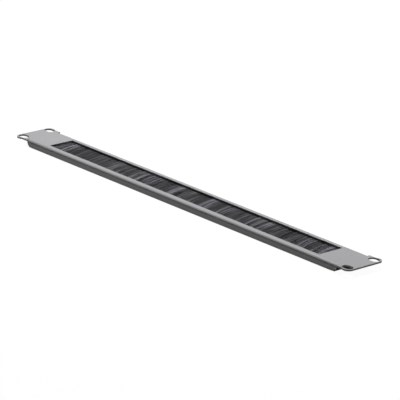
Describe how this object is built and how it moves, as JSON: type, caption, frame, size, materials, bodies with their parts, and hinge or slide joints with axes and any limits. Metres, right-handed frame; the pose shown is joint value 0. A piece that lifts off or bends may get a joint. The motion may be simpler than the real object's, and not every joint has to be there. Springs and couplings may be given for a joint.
{
  "type": "rack brush strip panel",
  "caption": "One-unit 19-inch rack panel: folded steel with a long window filled by a brush that lets cables through.",
  "frame": {"origin": "centred on the panel, level with the free edges of the two flanges", "axes": "+X along the panel, +Y up its height as mounted, +Z out of its front face"},
  "size_m": [0.4826, 0.0436, 0.007],
  "materials": {
    "panel_paint": "fine-textured grey powder coat",
    "channel_steel": "galvanised, folded",
    "wire_steel": "drawn wire",
    "fibre": "crimped nylon fibre",
    "clamp_steel": "zinc plated",
    "fastener": "bright zinc plated"
  },
  "bodies": {
    "root": {"panel": "panel_paint", "brush_channel": "channel_steel", "core_wire": "wire_steel", "bristles": "fibre", "left_clamp": "clamp_steel", "right_clamp": "clamp_steel", "weld_stud_1": "fastener", "weld_stud_2": "fastener", "weld_stud_3": "fastener", "weld_stud_4": "fastener", "flat_washer_1": "fastener", "flat_washer_2": "fastener", "flat_washer_3": "fastener", "flat_washer_4": "fastener", "split_washer_1": "fastener", "split_washer_2": "fastener", "split_washer_3": "fastener", "split_washer_4": "fastener", "nut_1": "fastener", "nut_2": "fastener", "nut_3": "fastener", "nut_4": "fastener"}
  },
  "joints": []
}
